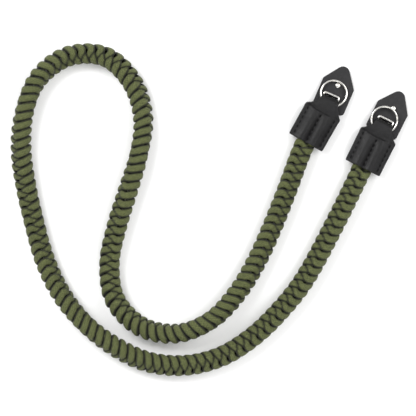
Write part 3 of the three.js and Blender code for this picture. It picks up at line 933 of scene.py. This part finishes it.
class STRAP_OT_pads(bpy.types.Operator):
    """Cut the pointed leather pads behind the rings"""

    bl_idname = "strap.pads"
    bl_label = "Ring pads"

    def execute(self, context):
        settings = context.scene.strap_leather
        material = leather_material("Pad leather", tuple(settings.pad), 0.5, 1300.0, 0.5, 0.3)
        for side in ENDS:
            piece(f"pad_{side}", pad_bmesh(side), material, [f"ring_pad_{side}"])
        return {"FINISHED"}


# Metal


def sweep(points, radius, sides=12):
    """A round wire along points (n x 3, in mm), carried without twisting."""
    line = np.array(points, float)
    run = unit(np.gradient(line, axis=0))
    normal = np.cross(run[0], (0, 0, 1.0))
    if np.linalg.norm(normal) < 0.1:
        normal = np.cross(run[0], (1.0, 0, 0))
    frames = []
    for t in run:
        normal = unit(normal - (normal @ t) * t)
        frames.append((normal, np.cross(t, normal)))
    angle = 2 * math.pi * np.arange(sides) / sides
    rings = np.array([
        p + radius * (np.cos(angle)[:, None] * a + np.sin(angle)[:, None] * b)
        for p, (a, b) in zip(line, frames)
    ])
    return rolled(rings)


def bar_bmesh(side, wire):
    """A staple over the pad's slot, with its feet bent in behind the pad."""
    front, back = PAD_THICK + 0.1 + wire, -0.2 - wire
    leg, clinch = BAR["half"] - wire, BAR["clinch"]

    def half_bar(s):
        down, bend = BAR["right" if s > 0 else "left"]
        return [
            (s * leg, clinch, back), (s * leg, down + 0.8 * bend, back),
            (s * leg, down + 0.25 * bend, back + 0.25 * bend), (s * leg, down, back + 0.9 * bend),
            (s * leg, down, front - 0.9 * bend), (s * leg, down + 0.25 * bend, front - 0.25 * bend),
            (s * leg, down + 0.8 * bend, front), (s * (leg - 0.05), -0.6 * bend, front),
            (s * (leg - 0.3), -0.15 * bend, front), (s * (leg - 0.9), 0, front),
        ]

    points = half_bar(-1) + half_bar(1)[::-1]
    bm = sweep(catmull(points, np.linspace(0, len(points) - 1, 120)), wire)
    spread(bm, pad_matrix(side))
    return bm


def rivet_bmesh(side, head):
    """A domed head with a small dimple, its post and its foot, spun from half a profile."""
    seat, under, foot, post, thick, dome = PAD_THICK + 0.2, -0.2, 1.5, 0.8, 0.6, 0.95
    profile = [(0, under - thick), (foot - 0.15, under - thick), (foot, under - thick + 0.15),
               (foot, under), (post, under), (post, seat), (head, seat), (head, seat + 0.25 * dome)]
    for step in range(1, 9):
        turned = math.radians(90 * step / 9)
        profile.append((0.35 * head + 0.65 * head * math.cos(turned),
                        seat + 0.25 * dome + 0.75 * dome * math.sin(turned)))
    profile += [(0.35 * head, seat + dome), (0.22 * head, seat + 0.9 * dome),
                (0.1 * head, seat + 0.8 * dome), (0, seat + 0.78 * dome)]
    bm = bmesh.new()
    verts = [bm.verts.new((x * MM, 0, z * MM)) for x, z in profile]
    edges = [bm.edges.new(pair) for pair in zip(verts, verts[1:])]
    bmesh.ops.spin(bm, geom=verts + edges, cent=(0, 0, 0), axis=(0, 0, 1), dvec=(0, 0, 0),
                   angle=2 * math.pi, steps=32, use_merge=True, use_duplicate=False)
    bmesh.ops.remove_doubles(bm, verts=bm.verts[:], dist=1e-6)
    outward(bm)
    x, y = ENDS[side]["rivet"]
    spread(bm, pad_matrix(side) @ Matrix.Translation((x * MM, y * MM, 0)))
    return bm


def ring_bmesh(side, outer):
    """A flat coil of two turns, one on the other, with a jog where the wire climbs."""
    wide, coil, jog = RING["wide"], RING["coil"], RING["jog"]
    first, steps, pace = jog + RING["gap"], RING["steps"], RING["pace"] * MM
    bm = bmesh.new()
    section = bmesh.ops.create_circle(bm, cap_ends=False, segments=14, radius=1)["verts"]
    for v in section:
        x, y = v.co.x, v.co.y
        bulge = (abs(x) ** 2.6 + abs(y) ** 2.6) ** (-1 / 2.6)
        v.co = ((outer - wide / 2 + x * bulge * wide / 2) * MM, 0, y * bulge * coil / 2 * MM)
    # spun as a tall spiral, so that a point's height tells its step, and then let down to the coil
    total = math.radians(720 - 2 * first)
    bmesh.ops.rotate(bm, verts=section, cent=(0, 0, 0), matrix=Matrix.Rotation(math.radians(first), 3, "Z"))
    bmesh.ops.spin(bm, geom=bm.verts[:] + bm.edges[:], cent=(0, 0, 0), axis=(0, 0, 1), dvec=(0, 0, pace),
                   angle=total, steps=steps, use_merge=False, use_duplicate=False)
    for v in bm.verts:
        step = round(v.co.z / pace)
        turned = first + (720 - 2 * first) * step / steps
        share = min(max((turned - 360 + jog) / (2 * jog), 0), 1)
        rise = share * share * (3 - 2 * share) * (coil + RING["between"]) * MM
        v.co.z = v.co.z - step * pace + rise
    bmesh.ops.holes_fill(bm, edges=[e for e in bm.edges if e.is_boundary], sides=0)
    outward(bm)
    end = ENDS[side]
    tilt = math.radians(end["tilt"])
    height = PAD_THICK + 0.2 + coil / 2 + outer * math.sin(tilt)
    place = Matrix.Translation((end["ring"][0] * MM, end["ring"][1] * MM, height * MM))
    turn = Matrix.Rotation(tilt, 4, "X") @ Matrix.Rotation(math.radians(end["turn"]), 4, "Z")
    spread(bm, pad_matrix(side) @ place @ turn)
    return bm


class STRAP_OT_metal(bpy.types.Operator):
    """Bend the split rings and the slot bars, and set the rivets"""

    bl_idname = "strap.metal"
    bl_label = "Rings, bars and rivets"

    def execute(self, context):
        settings = context.scene.strap_metal
        plating = tuple(settings.plating)
        bright = nickel_material("Ring nickel", plating, 0.2)
        soft = nickel_material("Fittings nickel", plating, 0.24)
        for side in ENDS:
            piece(f"ring_{side}", ring_bmesh(side, settings.ring / MM), bright,
                  [f"split_ring_{side}"])
            piece(f"bar_{side}", bar_bmesh(side, settings.wire / MM), soft,
                  [f"slot_bar_{side}"])
            piece(f"rivet_{side}", rivet_bmesh(side, settings.rivet / MM), soft,
                  [f"pad_rivet_{side}"])
        return {"FINISHED"}


# Stage


def area_light(name, place, size, power):
    """A round soft light that aims at the middle of the table."""
    data = bpy.data.lights.new(name, "AREA")
    data.shape = "DISK"
    data.size = size
    data.energy = power
    light = bpy.data.objects.new(name, data)
    light.location = place
    light.rotation_euler = (-Vector(place)).to_track_quat("-Z", "Y").to_euler()
    bpy.context.scene.collection.objects.link(light)


class STRAP_OT_stage(bpy.types.Operator):
    """Set the pale table, the soft light and the camera straight above"""

    bl_idname = "strap.stage"
    bl_label = "Stage"

    def execute(self, context):
        settings = context.scene.strap_stage
        scene = context.scene
        bm = bmesh.new()
        bmesh.ops.create_grid(bm, x_segments=4, y_segments=4, size=3)
        mesh = bpy.data.meshes.new("table")
        bm.to_mesh(mesh)
        bm.free()
        mesh.materials.append(floor_material(tuple(settings.table)))
        table = bpy.data.objects.new("table", mesh)
        scene.collection.objects.link(table)
        world = bpy.data.worlds.new("Soft studio")
        world.use_nodes = True
        background = world.node_tree.nodes["Background"]
        background.inputs["Color"].default_value = (1, 1, 1, 1)
        background.inputs["Strength"].default_value = WORLD_LIGHT * settings.light
        scene.world = world
        for name, place, size, power in LIGHTS:
            area_light(name, place, size, power * settings.light)
        data = bpy.data.cameras.new("Above")
        camera = bpy.data.objects.new("Above", data)
        data.sensor_width = SENSOR
        data.lens = SENSOR * CAMERA_HEIGHT / FIELD
        data.clip_end = 20
        camera.location = (*CAMERA_AT, CAMERA_HEIGHT + 0.006)
        scene.collection.objects.link(camera)
        scene.camera = camera
        scene.view_settings.view_transform = "Standard"
        return {"FINISHED"}


class STRAP_PT_panel(bpy.types.Panel):
    bl_idname = "STRAP_PT_panel"
    bl_label = "Knotted Cord Neck Strap"
    bl_space_type = "VIEW_3D"
    bl_region_type = "UI"
    bl_category = "Strap"

    def draw(self, context):
        for group, names in (
            (context.scene.strap_cord, ("pitch", "width", "thick", "steps", "colour")),
            (context.scene.strap_leather, ("thick", "stitch", "strap", "pad", "thread")),
            (context.scene.strap_metal, ("ring", "wire", "rivet", "plating")),
            (context.scene.strap_stage, ("table", "light")),
        ):
            for name in names:
                self.layout.prop(group, name)
        for operator in OPERATORS:
            self.layout.operator(operator.bl_idname)


OPERATORS = (STRAP_OT_stage, STRAP_OT_rope, STRAP_OT_leather_ends, STRAP_OT_pads, STRAP_OT_metal)
SETTINGS = {
    "strap_cord": CordSettings,
    "strap_leather": LeatherSettings,
    "strap_metal": MetalSettings,
    "strap_stage": StageSettings,
}


def register():
    for name, group in SETTINGS.items():
        bpy.utils.register_class(group)
        setattr(bpy.types.Scene, name, bpy.props.PointerProperty(type=group))
    for operator in OPERATORS:
        bpy.utils.register_class(operator)
    bpy.utils.register_class(STRAP_PT_panel)


def unregister():
    bpy.utils.unregister_class(STRAP_PT_panel)
    for operator in reversed(OPERATORS):
        bpy.utils.unregister_class(operator)
    for name, group in SETTINGS.items():
        delattr(bpy.types.Scene, name)
        bpy.utils.unregister_class(group)


def main():
    register()
    bpy.ops.strap.stage()
    bpy.ops.strap.rope()
    bpy.ops.strap.leather_ends()
    bpy.ops.strap.pads()
    bpy.ops.strap.metal()


if __name__ == "__main__":
    main()
